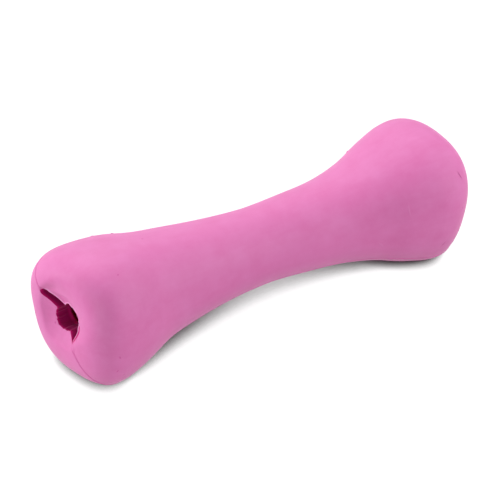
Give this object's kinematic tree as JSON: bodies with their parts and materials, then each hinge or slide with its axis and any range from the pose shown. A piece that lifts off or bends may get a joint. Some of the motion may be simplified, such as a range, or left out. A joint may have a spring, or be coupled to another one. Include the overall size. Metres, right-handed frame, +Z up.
{
  "type": "rubber chew toy",
  "caption": "Hollow bone-shaped rubber chew toy of two bonded half shells, with dished ends, each split by a round mouth and slits for stuffing treats into the cavity",
  "frame": {"origin": "centre of the length and width, on the surface that the toy lies on", "axes": "+X along the toy, +Z up from the surface it lies on, -Y the side that faces the viewer"},
  "size_m": [0.1502, 0.0466, 0.0452],
  "materials": {
    "shell_rubber": "satin pink moulded natural rubber",
    "bond_rubber": "satin pink bonding rubber in the seam"
  },
  "bodies": {
    "root": {"front_half_shell": "shell_rubber", "rear_half_shell": "shell_rubber", "upper_seam_bond": "bond_rubber", "lower_seam_bond": "bond_rubber"}
  },
  "joints": []
}
